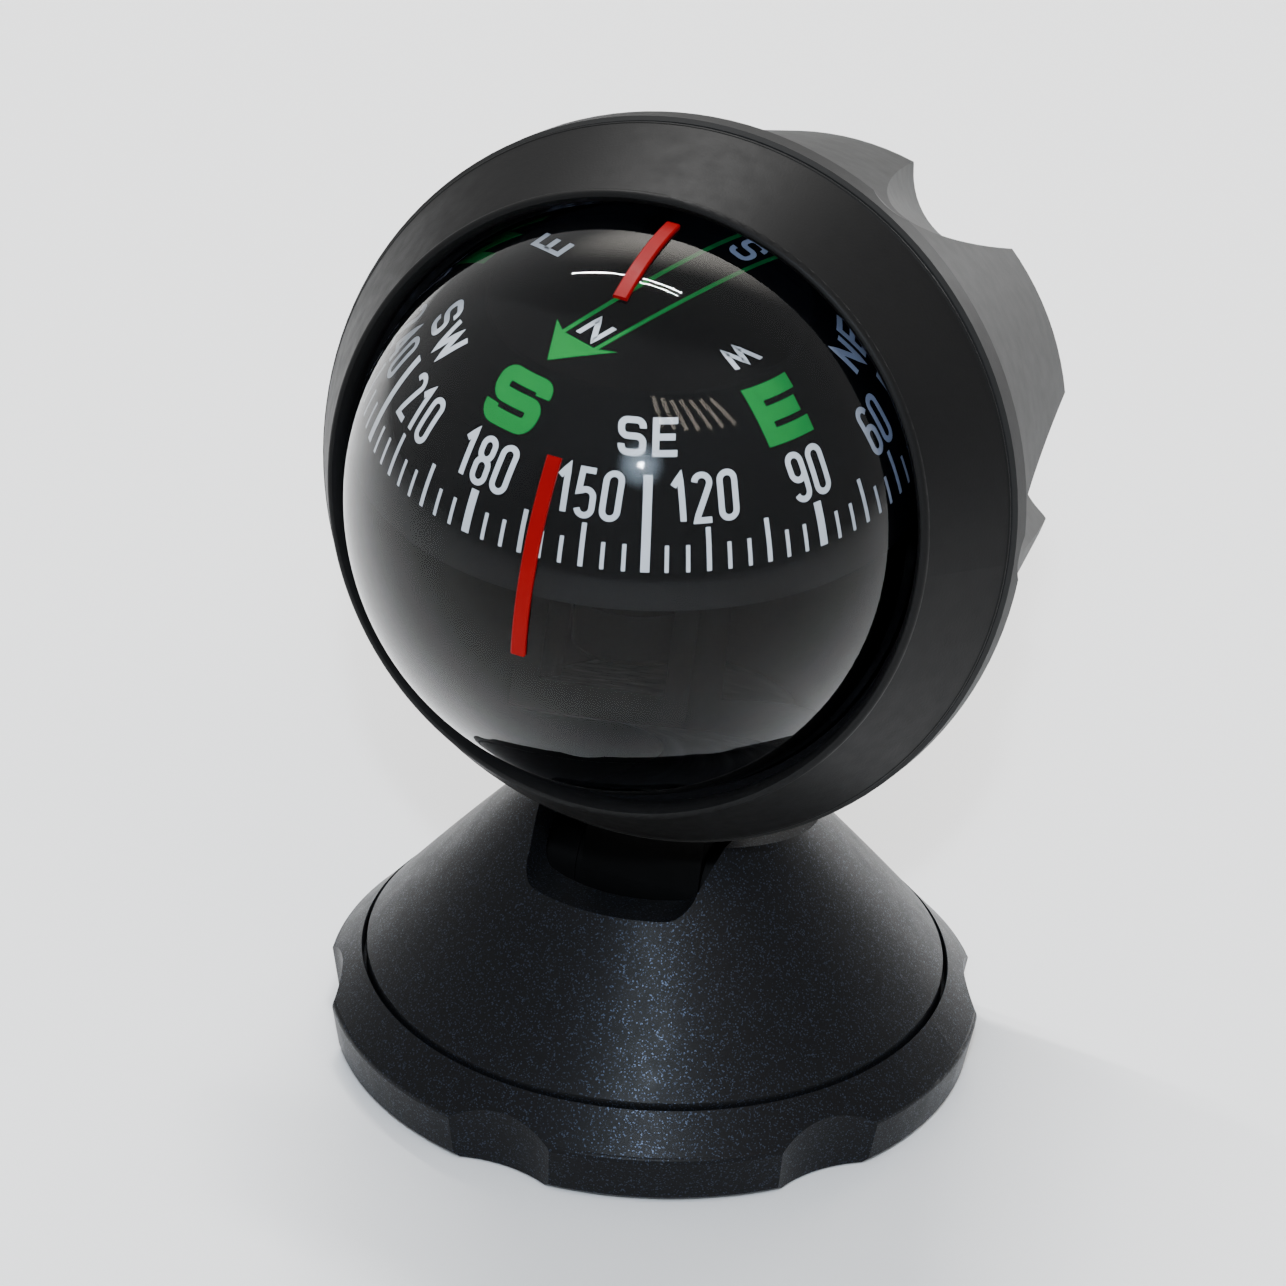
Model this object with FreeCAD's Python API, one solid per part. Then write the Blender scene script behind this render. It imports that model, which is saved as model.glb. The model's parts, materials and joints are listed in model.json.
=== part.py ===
import FreeCAD, Part
import os
import math

# Ball compass on a swivelling, tilting dashboard stand.  Millimetres, +Z up, the dial faces -Y.
# The origin is the centre of the adhesive pad's underside.
# Head pieces are drawn about the head's own axis: (radius, back), where back is the distance behind
# the ball's centre, and are then pitched up and lifted to their place by in_head().

V = FreeCAD.Vector

# ---- turret ----
turret_radius = 22.42          # at the parting groove
turret_bottom = 7.4            # height where the cone starts
turret_apex = 32.8             # height where the cone would come to a point
turret_bulge = 0.15            # the cone's side is very slightly rounded
turret_wall = 2.2              # square to the surface
yoke_floor = 2.0
yoke_screw_circle = 17.2
yoke_screw_radius = 0.9
yoke_screw_length = 5.1        # with its countersunk head
lug_radius = 1.8
lug_top = 12.0
top_cut_height = 22.3          # the sloping top, at its front edge
top_cut_slope = 12.0
slot_floor = 17.8
slot_half_floor = 6.9
slot_half_top = 8.0
slot_corner = 1.6
pivot_height = 14.5
axle_radius = 1.55
axle_head = 1.8                # its thickness
axle_nut_thickness = 2.0
axle_end = 0.2                 # the axle's end stands this much proud of its nut
ear_inner = 5.3
ear_thickness = 2.6
arm_half_width = 4.8
arm_half_depth = 4.4

# ---- stand ----
groove_to_rim = 2.98           # parting groove to the outside of the ring
ring_lean = 0.6                # the ring is this much smaller at its foot
ring_wall_height = 4.2
ring_lift = 0.2                # the pad stands this much proud of the ring
ring_wall = 2.2
skirt_top = 7.05
deck_top = 5.0
deck_thickness = 2.0
scallop_count = 6
scallop_radius = 10.0
scallop_depth = 1.2
scallop_clock = -5.6           # how far the stand ring is turned under the head
pad_thickness = 1.2
plate_screw_circle = 15.0
plate_screw_radius = 0.9
boss_radius = 3.4
boss_top = 7.9
swivel_screw_radius = 1.6
swivel_head_radius = 3.0
swivel_head_height = 1.0
driver_slot = 0.8              # width of the screwdriver slots in the larger screws
cap_washer_radius = 5.0
cap_washer_thickness = 0.7
thrust_washer_radius = 12.0

# ---- head ----
ball_y = -7.73
neck_rise = 1.79               # bezel above the front of the turret's top
head_pitch = 13.2              # degrees that the dial looks up
ball_radius = 22.0
ball_wall = 1.6
flange_overhang = 2.2
flange_front = 1.5
flange_back = 3.2
seal_back = 4.0
bowl_flange_back = 5.6
bezel_width = 5.3              # ball to the bezel's outside edge
bezel_edge = 3.9
bezel_back = 4.1
lip_width = 1.6
lip_front = 4.1
lip_round = 0.65
nose_length = 1.1              # rounded inner edge of the lip
bore_width = 0.55
ring_width = 1.4
ring_step = 2.2                # retaining ring's front face, ahead of the ball's centre
spigot_wall = 1.05
spigot_back = 6.0
band_step = 0.3                # the housing's rim stands this much outside the bezel
band_front = 4.35
band_back = 7.0
shell_step = 1.3
shell_rear_inset = 0.7         # rear edge, measured in from the ball's radius
shell_reach = 14.8             # the housing ends this far behind the ball
shell_wall = 2.0
rear_round = 0.7
flute_count = 6
flute_radius = 6.0
flute_inset = 4.5              # floor of a flute at the rear edge, measured in from the ball's radius
flute_slope = 18.0             # degrees that the floor climbs outward toward the front
flute_start = 15.0             # where the inner wall starts to follow the flutes
foot_reach = 5.6               # foot plate behind the arm
foot_screw_radius = 0.8
foot_screw_length = 4.0        # below its head
foot_screw_head = 1.5
foot_screw_back = 3.0          # screws behind the arm
foot_screw_in = 2.0            # screws in from the foot's side
foot_half_width = 6.4
foot_depth = 4.2               # foot plate below the ball's axis, measured in from the ball
cover_wall = 2.2               # between the cover and a flute's floor
cover_thickness = 1.7
cover_recess = 0.5
cover_screw_radius = 0.8
cover_screw_bite = 1.4         # thread in the ledge
ledge_width = 3.8
ledge_thickness = 1.6
lubber_width = 1.1
lubber_height = 0.35
lubber_clock = 3.0             # degrees that the ball sits rolled in its housing
lubber_lower = (-18.9, 20.2)   # degrees above the head's axis
lubber_upper = (53.9, 78.8)
bowl_neck_radius = 7.0
bowl_neck_back = 1.0           # neck's end behind the ball
plug_height = 12.0
plug_radius = 1.5
plug_length = 3.6
plug_head_radius = 2.2
plug_head_height = 1.0
plug_boss_radius = 2.7
diaphragm_radius = 6.4
diaphragm_thickness = 0.6
cap_height = 2.2
cap_roof = 0.7
cap_vent_radius = 1.2
cap_inner_radius = 4.2
neck_bore_radius = 4.5

# ---- card and its gimbal, level about the ball's centre ----
card_radius = 16.75
card_wall = 0.8
card_rim_height = 0.5          # the card ends just above the ball's centre
card_top = 13.25               # flat disc on top of the domed side
cheek_inner = 3.4
cheek_thickness = 1.4
bracket_floor = 11.5
bracket_bar = 1.7
bracket_half_depth = 2.0
gimbal_pin_radius = 0.55
weight_radius = 3.0
weight_bottom = 8.2
weight_height = 2.8
weight_hub_radius = 1.7
weight_stem_radius = 1.2
needle_radius = 0.5
needle_seat = 0.9              # foot of the needle, in the weight's hub
needle_point = 1.5             # length of its taper
needle_top = 6.35
jewel_bottom = 5.5
jewel_top = 7.7
jewel_radius = 1.5
jewel_stem_radius = 1.0
carrier_post_radius = 2.0
carrier_thickness = 1.2
carrier_radius = 6.5
magnet_section = 1.6
magnet_length = 10.0
magnet_spread = 4.2

# ---- compensator ----
spindle_spread = 5.0
spindle_radius = 1.5
spindle_head = 2.4
spindle_head_sunk = 1.0
holder_radius = 2.2
holder_thickness = 1.2
compensator_magnet = 7.0
magnet_bar_side = 2.0
compensator_reach = 7.3        # magnets ahead of the cover

# ---- fits ----
running = 0.05                 # radial clearance of a turning fit
seat_gap = 0.05                # between a thrust face and what turns on it
part_gap = 0.3                 # open gap between pieces that move past each other
seat = 0.1                     # slack of a piece dropped into its recess

pitch = math.radians(head_pitch)
groove_radius = turret_radius + part_gap
ring_rim_radius = turret_radius + groove_to_rim
ring_foot_radius = ring_rim_radius - ring_lean
ring_inner = ring_foot_radius - ring_wall
deck_bottom = deck_top - deck_thickness
plate_thickness = deck_bottom - pad_thickness
cone_slope = turret_radius / (turret_apex - turret_bottom)
wall_across = turret_wall * math.sqrt(1 + cone_slope ** 2)
yoke_bottom = deck_top + part_gap + seat_gap
yoke_top = yoke_bottom + yoke_floor
yoke_radius = turret_radius - wall_across
ear_outer = ear_inner + ear_thickness
cap_washer_top = boss_top + cap_washer_thickness

ball_inner = ball_radius - ball_wall
flange_radius = ball_radius + flange_overhang
pocket_radius = flange_radius + 0.15
bezel_radius = ball_radius + bezel_width
bezel_bore = ball_radius + bore_width
lip_radius = ball_radius + lip_width
ring_outer = ball_radius + ring_width
spigot_outer = pocket_radius + spigot_wall
band_radius = bezel_radius + band_step
shell_front_radius = band_radius - shell_step
bowl_radius = ball_radius - seat
bowl_neck_end = bowl_radius + bowl_neck_back
ball_z = top_cut_height + neck_rise + bezel_radius * math.cos(pitch)
card_inner = card_radius - card_wall
shell_rear_radius = ball_radius - shell_rear_inset
shell_rear = ball_radius + shell_reach
flute_floor = ball_radius - flute_inset
cover_radius = flute_floor - cover_wall
cover_back = shell_rear - cover_recess
cover_front = cover_back - cover_thickness
cover_screw_circle = cover_radius - 2.0
ledge_radius = cover_radius - ledge_width
ledge_front = cover_front - ledge_thickness
foot_top = -(ball_radius - foot_depth)
compensator_front = cover_front - compensator_reach


def face_of(points):
    """Closed face in the XY plane; an item with two points is an arc (through, to)."""
    edges = []
    start = points[0]
    here = start
    for item in list(points[1:]) + [start]:
        if isinstance(item[0], tuple):
            through, end = item
            arc = Part.Arc(V(here[0], here[1], 0), V(through[0], through[1], 0), V(end[0], end[1], 0))
            edges.append(arc.toShape())
        else:
            end = item
            if math.hypot(end[0] - here[0], end[1] - here[1]) > 1e-6:
                edges.append(Part.makeLine(V(here[0], here[1], 0), V(end[0], end[1], 0)))
        here = end
    return Part.Face(Part.Wire(edges))


def turned_upright(points):
    """Solid of revolution about Z from (radius, height) points."""
    face = face_of(points)
    face.rotate(V(0, 0, 0), V(1, 0, 0), 90)
    return face.revolve(V(0, 0, 0), V(0, 0, 1), 360)


def turned_back(points):
    """Solid of revolution about the head's axis from (radius, back) points."""
    return face_of(points).revolve(V(0, 0, 0), V(0, 1, 0), 360)


def rod(radius, length, start, direction):
    return Part.makeCylinder(radius, length, V(*start), V(*direction))


def block(low, high):
    return Part.makeBox(high[0] - low[0], high[1] - low[1], high[2] - low[2], V(*low))


def around(shape, count, axis, first=0.0):
    copies = []
    for k in range(count):
        copy = shape.copy()
        copy.rotate(V(0, 0, 0), V(*axis), first + 360.0 * k / count)
        copies.append(copy)
    return copies


def in_head(shape):
    placed = shape.copy()
    placed.rotate(V(0, 0, 0), V(1, 0, 0), -head_pitch)
    placed.translate(V(0, ball_y, ball_z))
    return placed


def in_ball(shape):
    """The ball's own pieces sit slightly rolled in the housing."""
    rolled = shape.copy()
    rolled.rotate(V(0, 0, 0), V(0, 1, 0), lubber_clock)
    return in_head(rolled)


def at_ball(shape):
    """Level pieces inside the ball: lifted to its centre, not pitched."""
    placed = shape.copy()
    placed.translate(V(0, ball_y, ball_z))
    return placed


def cone_radius(height):
    return (turret_apex - height) * cone_slope


def shell_radius(back):
    share = (back - band_back) / (shell_rear - band_back)
    return shell_front_radius + (shell_rear_radius - shell_front_radius) * share


def sphere_at(radius, back):
    return math.sqrt(radius ** 2 - back ** 2)


def arc_point(radius, angle):
    a = math.radians(angle)
    return (radius * math.cos(a), radius * math.sin(a))


# ---- stand ----

def base_ring():
    body = turned_upright([
        (ring_inner, ring_lift), (ring_foot_radius - 0.3, ring_lift), (ring_foot_radius, ring_lift + 0.3),
        (ring_rim_radius, ring_wall_height - 0.35),
        ((ring_rim_radius - 0.04, ring_wall_height - 0.12),
         (ring_rim_radius - 0.25, ring_wall_height + 0.12)),
        (groove_radius + 0.12, skirt_top - 0.06), (groove_radius, skirt_top - 0.2),
        (groove_radius, deck_top),
        (boss_radius, deck_top), (boss_radius, boss_top), (swivel_screw_radius, boss_top),
        (swivel_screw_radius, deck_bottom), (ring_inner, deck_bottom)])
    lean = math.atan(ring_lean / ring_wall_height)
    cutter = rod(scallop_radius, 3 * skirt_top, (0, 0, -skirt_top), (0, 0, 1))
    cutter.rotate(V(0, 0, 0), V(1, 0, 0), math.degrees(lean))
    cutter.translate(V(0, -(ring_foot_radius - scallop_depth + scallop_radius), 0))
    body = body.cut(Part.Compound(around(cutter, scallop_count, (0, 0, 1), scallop_clock)))
    return body.cut(Part.Compound(plate_screw_set()))


def plate_screw_set():
    head_height = plate_screw_radius * 0.9
    head = Part.makeCone(plate_screw_radius * 1.9, plate_screw_radius, head_height,
                         V(0, -plate_screw_circle, pad_thickness))
    shank = rod(plate_screw_radius, plate_thickness - head_height + deck_thickness - 0.3,
                (0, -plate_screw_circle, pad_thickness + head_height), (0, 0, 1))
    return around(head.fuse(shank), 3, (0, 0, 1), scallop_clock)


def base_plate():
    disc = rod(ring_inner - seat, plate_thickness, (0, 0, pad_thickness), (0, 0, 1))
    return disc.cut(Part.Compound(plate_screw_set()))


def base_plate_screws():
    return Part.Compound(plate_screw_set())


def adhesive_pad():
    return rod(ring_inner - 0.4, pad_thickness, (0, 0, 0), (0, 0, 1))


def swivel_thrust_washer():
    top = yoke_bottom - seat_gap
    return turned_upright([(boss_radius + running, deck_top), (thrust_washer_radius, deck_top),
                           (thrust_washer_radius, top), (boss_radius + running, top)])


def swivel_cap_washer():
    return turned_upright([(swivel_screw_radius, boss_top), (cap_washer_radius, boss_top),
                           (cap_washer_radius, cap_washer_top), (swivel_screw_radius, cap_washer_top)])


def swivel_wave_washer():
    return turned_upright([(boss_radius + running, yoke_top + seat_gap),
                           (cap_washer_radius, yoke_top + seat_gap),
                           (cap_washer_radius, boss_top), (boss_radius + running, boss_top)])


def swivel_screw():
    shank = rod(swivel_screw_radius, cap_washer_top - deck_bottom, (0, 0, deck_bottom), (0, 0, 1))
    head_top = cap_washer_top + swivel_head_height
    head = turned_upright([(0, cap_washer_top), (swivel_head_radius, cap_washer_top),
                           (swivel_head_radius, head_top - 0.4), (swivel_head_radius - 0.4, head_top), (0,
                                                                                                        head_top)])
    slot = block((-driver_slot / 2, -swivel_head_radius, head_top - swivel_head_height / 2),
                 (driver_slot / 2, swivel_head_radius, head_top + 1))
    return shank.fuse(head).cut(slot)


# ---- turret ----

def turret_slot():
    top = top_cut_height + 3
    lean = (slot_half_top - slot_half_floor) / (top_cut_height - slot_floor)
    wide = slot_half_floor + lean * (top - slot_floor)
    corner = slot_corner
    k = corner * (1 - math.sqrt(0.5))
    outline = face_of([
        (-wide, top), (-slot_half_floor, slot_floor + corner),
        ((-slot_half_floor + k, slot_floor + k), (-slot_half_floor + corner, slot_floor)),
        (slot_half_floor - corner, slot_floor),
        ((slot_half_floor - k, slot_floor + k), (slot_half_floor, slot_floor + corner)), (wide, top)])
    outline.rotate(V(0, 0, 0), V(1, 0, 0), 90)
    return outline.extrude(V(0, -turret_radius, 0))


def turret_cone():
    high = top_cut_height + 2
    middle = (turret_bottom + high) / 2
    shell = turned_upright([
        (yoke_radius + seat, yoke_bottom), (turret_radius, yoke_bottom), (turret_radius, turret_bottom),
        ((cone_radius(middle) + turret_bulge, middle + turret_bulge * cone_slope),
         (cone_radius(high), high)),
        (cone_radius(high) - wall_across, high),
        (cone_radius(turret_bottom) - wall_across + seat, turret_bottom)])
    lug = rod(lug_radius, lug_top - yoke_top, (0, -yoke_screw_circle, yoke_top), (0, 0, 1))
    skin = turned_upright([(0, yoke_top), (cone_radius(yoke_top) - 1.0, yoke_top),
                           (cone_radius(high) - 1.0, high),
                           (0, high)])
    lugs = around(lug.common(skin), 3, (0, 0, 1), 60)
    shell = shell.fuse(lugs)
    top = block((-turret_radius, -turret_radius * 2, 0), (turret_radius, turret_radius * 2, turret_radius))
    top.rotate(V(0, 0, 0), V(1, 0, 0), -top_cut_slope)
    front = cone_radius(top_cut_height)
    top.translate(V(0, 0, top_cut_height - front * math.tan(math.radians(top_cut_slope))))
    return shell.cut(top).cut(turret_slot()).cut(Part.Compound(yoke_screw_set())).removeSplitter()


def yoke_screw_set():
    sink = yoke_screw_radius
    head = Part.makeCone(2 * yoke_screw_radius, yoke_screw_radius, sink,
                         V(0, -yoke_screw_circle, yoke_bottom))
    shank = rod(yoke_screw_radius, yoke_screw_length - sink, (0, -yoke_screw_circle, yoke_bottom + sink),
                (0, 0, 1))
    return around(head.fuse(shank), 3, (0, 0, 1), 60)


def yoke_screws():
    return Part.Compound(yoke_screw_set())


def tilt_yoke():
    yoke = rod(yoke_radius, yoke_floor, (0, 0, yoke_bottom), (0, 0, 1))
    for side in (-1, 1):
        inner, outer = sorted((side * ear_inner, side * ear_outer))
        post = block((inner, -arm_half_depth, yoke_top - 0.5), (outer, arm_half_depth, pivot_height))
        crown = rod(arm_half_depth, ear_thickness, (inner, 0, pivot_height), (1, 0, 0))
        yoke = yoke.fuse(post.fuse(crown))
    yoke = yoke.cut(rod(boss_radius + running, 3 * yoke_floor, (0, 0, yoke_bottom - yoke_floor), (0, 0, 1)))
    yoke = yoke.cut(rod(axle_radius, 4 * ear_outer, (-2 * ear_outer, 0, pivot_height), (1, 0, 0)))
    return yoke.cut(Part.Compound(yoke_screw_set())).removeSplitter()


def tilt_axle():
    left = -ear_outer - axle_nut_thickness - axle_end
    shank = rod(axle_radius, ear_outer - left, (left, 0, pivot_height), (1, 0, 0))
    head = rod(axle_radius * 1.9, axle_head, (ear_outer, 0, pivot_height), (1, 0, 0))
    slot = block((ear_outer + axle_head - 0.7, -2 * axle_radius, pivot_height - driver_slot / 2),
                 (ear_outer + axle_head + 1, 2 * axle_radius, pivot_height + driver_slot / 2))
    return shank.fuse(head).cut(slot)


def axle_nut():
    corners = [arc_point(axle_radius * 2, 60 * k) for k in range(6)]
    nut = face_of(corners).extrude(V(0, 0, axle_nut_thickness))
    nut.rotate(V(0, 0, 0), V(0, 1, 0), -90)
    nut.translate(V(-ear_outer, 0, pivot_height))
    return nut.cut(rod(axle_radius, 3 * axle_nut_thickness,
                       (-ear_outer - 2 * axle_nut_thickness, 0, pivot_height),
                       (1, 0, 0)))


def tilt_washers():
    discs = []
    thickness = ear_inner - arm_half_width - seat_gap
    for side in (-1, 1):
        start = side * (arm_half_width + seat_gap)
        disc = rod(arm_half_depth - 0.2, thickness, (start, 0, pivot_height), (side, 0, 0))
        bore = rod(axle_radius + running, 2 * thickness, (start - side * 0.2, 0, pivot_height),
                   (side, 0, 0))
        discs.append(disc.cut(bore))
    return Part.Compound(discs)


# ---- arm that carries the head ----

def pivot_in_head():
    """The tilt axis seen from the head: (distance behind the ball's centre, height)."""
    dy = -ball_y
    dz = pivot_height - ball_z
    return (dy * math.cos(pitch) - dz * math.sin(pitch), dy * math.sin(pitch) + dz * math.cos(pitch))


def cavity_wall():
    """Inner wall of the rear housing behind its seat for the ball, front to rear."""
    rear = flute_floor + (shell_rear - ledge_front) * math.tan(math.radians(flute_slope)) - shell_wall
    front = band_back + 0.6
    return [(shell_radius(front) - shell_wall, front),
            (shell_radius(flute_start) - shell_wall, flute_start),
            (rear, ledge_front)]


def shell_cavity():
    wall = cavity_wall()
    return turned_back([(0, wall[0][1])] + wall + [(0, ledge_front)])


def arm_stem():
    back, down = pivot_in_head()
    return block((-arm_half_width, back - arm_half_depth, down),
                 (arm_half_width, back + arm_half_depth, foot_top))


def arm_screw_set():
    back, down = pivot_in_head()
    y = back + arm_half_depth + foot_screw_back
    screws = []
    for side in (-1, 1):
        x = side * (foot_half_width - foot_screw_in)
        shank = rod(foot_screw_radius, foot_screw_length, (x, y, foot_top - foot_screw_length), (0, 0, 1))
        screws.append(shank.fuse(rod(foot_screw_head, 1.0, (x, y, foot_top), (0, 0, 1))))
    return screws


def tilt_arm():
    back, down = pivot_in_head()
    foot = block((-foot_half_width, back - arm_half_depth, -shell_front_radius),
                 (foot_half_width, back + arm_half_depth + foot_reach, foot_top))
    eye = rod(arm_half_depth, 2 * arm_half_width, (-arm_half_width, back, down), (1, 0, 0))
    arm = eye.fuse(arm_stem()).fuse(foot.common(shell_cavity()))
    arm = arm.cut(rod(axle_radius + running, 4 * arm_half_width, (-2 * arm_half_width, back, down),
                      (1, 0, 0)))
    arm = arm.cut(Part.makeSphere(ball_radius + part_gap))
    return arm.cut(Part.Compound(arm_screw_set())).removeSplitter()


def arm_screws():
    back, down = pivot_in_head()
    cuts = []
    for side in (-1, 1):
        x = side * (foot_half_width - foot_screw_in)
        cuts.append(block((x - 0.25, back + arm_half_depth, foot_top + 0.6),
                          (x + 0.25, back + arm_half_depth + 6, foot_top + 2)))
    return Part.Compound(arm_screw_set()).cut(Part.Compound(cuts))


# ---- head shells ----

def rear_housing():
    end = shell_radius(shell_rear)
    k = rear_round * (1 - math.sqrt(0.5))
    ball_seat = sphere_at(ball_radius, bowl_flange_back) + 0.9
    wall = cavity_wall()
    shell = turned_back([
        (spigot_outer + running, band_front), (band_radius - 0.3, band_front),
        (band_radius, band_front + 0.3),
        (band_radius, band_back - 0.3), (band_radius - 0.35, band_back),
        (shell_radius(band_back + 0.15), band_back + 0.15),
        (end + 0.1, shell_rear - rear_round), ((end - k, shell_rear - k), (end - rear_round, shell_rear)),
        (cover_radius + seat, shell_rear), (cover_radius + seat, cover_front), (ledge_radius, cover_front),
        (ledge_radius, ledge_front), wall[2], wall[1], wall[0],
        (ball_seat, wall[0][1]), (ball_seat, bowl_flange_back), (pocket_radius, bowl_flange_back),
        (pocket_radius, spigot_back + seat), (spigot_outer + running, spigot_back + seat)])
    cutter = rod(flute_radius, 2 * shell_rear, (0, 0, -shell_rear), (0, 0, 1))
    cutter.rotate(V(0, 0, 0), V(1, 0, 0), 90 - flute_slope)
    cutter.translate(V(0, shell_rear, flute_floor + flute_radius / math.cos(math.radians(flute_slope))))
    flutes = around(cutter, flute_count, (0, 1, 0), 180.0 / flute_count)
    shell = shell.cut(Part.Compound(flutes)).cut(arm_stem())
    shell = shell.cut(Part.Compound(cover_screw_set())).cut(Part.Compound(arm_screw_set()))
    return shell.removeSplitter()


def bezel():
    k = lip_round * (1 - math.sqrt(0.5))
    return turned_back([
        (bezel_bore, -ring_step + 0.05), (bezel_bore, -lip_front + nose_length),
        ((bezel_bore + nose_length * 0.22, -lip_front + nose_length * 0.3),
         (lip_radius - lip_round * 0.8, -lip_front)),
        ((lip_radius - lip_round * 0.25, -lip_front + lip_round * 0.2),
         (lip_radius, -lip_front + lip_round * 0.8)),
        (bezel_radius - 0.12, bezel_edge - 0.15),
        ((bezel_radius - 0.01, bezel_edge - 0.02), (bezel_radius - k, bezel_back)),
        (spigot_outer, bezel_back), (spigot_outer, spigot_back), (pocket_radius, spigot_back),
        (pocket_radius, flange_front - 0.8), (ring_outer + 0.05, flange_front - 0.8),
        (ring_outer + 0.05, -ring_step + 0.05)])


def retaining_ring():
    bore = ball_radius + 0.12
    return turned_back([(bore, flange_front), (bore, -ring_step + 0.9), (bore + 0.75, -ring_step + 0.05),
                        (ring_outer, -ring_step + 0.05), (ring_outer, flange_front)])


def seal_ring():
    return turned_back([(ball_inner + 0.3, flange_back), (flange_radius - 0.1, flange_back),
                        (flange_radius - 0.1, seal_back), (ball_inner + 0.3, seal_back)])


def dome():
    out_mid = arc_point(ball_radius, -45)
    in_mid = arc_point(ball_inner, -45)
    return turned_back([
        (0, -ball_radius), (out_mid, (ball_radius, 0)), (ball_radius, flange_front),
        (flange_radius, flange_front),
        (flange_radius, flange_back), (ball_inner, flange_back), (ball_inner, 0),
        (in_mid, (0, -ball_inner))])


def lubber_bar(span):
    low, high = span
    section = face_of([(-lubber_width / 2, ball_radius), (lubber_width / 2, ball_radius),
                       (lubber_width / 2, ball_radius + lubber_height - 0.1),
                       (lubber_width / 2 - 0.1, ball_radius + lubber_height),
                       (-lubber_width / 2 + 0.1, ball_radius + lubber_height),
                       (-lubber_width / 2, ball_radius + lubber_height - 0.1)])
    # the section's height first points along +Y; turn it to face forward, then up by its low end
    section.rotate(V(0, 0, 0), V(1, 0, 0), 180 - low)
    return section.revolve(V(0, 0, 0), V(1, 0, 0), low - high)


# ---- rear half of the ball ----

def bowl():
    start_out = sphere_at(bowl_radius, bowl_flange_back)
    start_in = sphere_at(ball_inner, seal_back)
    body = turned_back([
        (0, ball_inner), (arc_point(ball_inner, 50), (start_in, seal_back)), (flange_radius, seal_back),
        (flange_radius, bowl_flange_back), (start_out, bowl_flange_back),
        (arc_point(bowl_radius, 50), (0, bowl_radius))])
    neck = rod(bowl_neck_radius, bowl_neck_end, (0, 0, 0), (0, 1, 0))
    plug_boss = rod(plug_boss_radius, plug_seat(), (0, 0, plug_height), (0, 1, 0))
    body = body.fuse(neck.fuse(plug_boss).cut(Part.makeSphere(ball_radius - ball_wall / 2)))
    body = body.cut(rod(neck_bore_radius, ball_radius, (0, ball_wall * 5, 0), (0, 1, 0)))
    return body.cut(rod(plug_radius, ball_radius, (0, ball_wall * 5, plug_height),
                        (0, 1, 0))).removeSplitter()


def plug_seat():
    return sphere_at(bowl_radius, plug_height - plug_boss_radius) + 0.1


def fill_plug():
    shank = rod(plug_radius, plug_length, (0, plug_seat() - plug_length, plug_height), (0, 1, 0))
    head = rod(plug_head_radius, plug_head_height, (0, plug_seat(), plug_height), (0, 1, 0))
    slot = block((-0.3, plug_seat() + 0.5, plug_height - 3), (0.3, plug_seat() + 2, plug_height + 3))
    return shank.fuse(head).cut(slot)


def expansion_diaphragm():
    low = bowl_neck_end
    high = low + diaphragm_thickness
    return turned_back([(0, low), (diaphragm_radius, low), (diaphragm_radius, high), (3.6, high),
                        (3.2, high + 0.5),
                        (2.4, high + 0.5), (2.0, high), (0, high)])


def diaphragm_cap():
    low = bowl_neck_end
    top = low + cap_height
    step = low + diaphragm_thickness
    return turned_back([(diaphragm_radius, low), (bowl_neck_radius, low), (bowl_neck_radius, top),
                        (cap_vent_radius, top), (cap_vent_radius, top - cap_roof), (cap_inner_radius,
                                                                                    top - cap_roof),
                        (cap_inner_radius, step), (diaphragm_radius, step)])


def pivot_bracket():
    outer = cheek_inner + cheek_thickness
    bar = block((-outer, -bracket_half_depth, -bracket_floor),
                (outer, ball_radius, -bracket_floor + bracket_bar))
    bracket = bar
    for side in (-1, 1):
        inner, far = sorted((side * cheek_inner, side * outer))
        cheek = block((inner, -bracket_half_depth, -bracket_floor), (far, bracket_half_depth, 0))
        crown = rod(bracket_half_depth, cheek_thickness, (inner, 0, 0), (1, 0, 0))
        bracket = bracket.fuse(cheek.fuse(crown))
    bracket = bracket.cut(rod(gimbal_pin_radius + running, 4 * outer, (-2 * outer, 0, 0), (1, 0, 0)))
    return bracket.common(Part.makeSphere(ball_inner)).removeSplitter()


# ---- rear cover and compensator ----

def cover_screw_set():
    length = cover_thickness + cover_screw_bite
    shank = rod(cover_screw_radius, length, (0, cover_front - cover_screw_bite, cover_screw_circle),
                (0, 1, 0))
    head = Part.makeCone(cover_screw_radius, 2 * cover_screw_radius, cover_screw_radius,
                         V(0, cover_back - cover_screw_radius, cover_screw_circle), V(0, 1, 0))
    screw = shank.fuse(head)
    return around(screw, 3, (0, 1, 0))


def cover_screws():
    screws = Part.Compound(cover_screw_set())
    slot = block((-0.2, cover_back - 0.35, cover_screw_circle - 2),
                 (0.2, cover_back + 1, cover_screw_circle + 2))
    return screws.cut(Part.Compound(around(slot, 3, (0, 1, 0))))


def rear_cover():
    disc = turned_back([(0, cover_front), (cover_radius, cover_front), (cover_radius, cover_back - 0.3),
                        (cover_radius - 0.3, cover_back), (0, cover_back)])
    disc = disc.cut(Part.Compound(cover_screw_set()))
    for side in (-1, 1):
        x = side * spindle_spread
        disc = disc.cut(rod(spindle_radius + running, 4, (x, cover_front - 1, 0), (0, 1, 0)))
        disc = disc.cut(rod(spindle_head + part_gap, 2, (x, cover_back - spindle_head_sunk, 0), (0, 1, 0)))
    return disc


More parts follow.
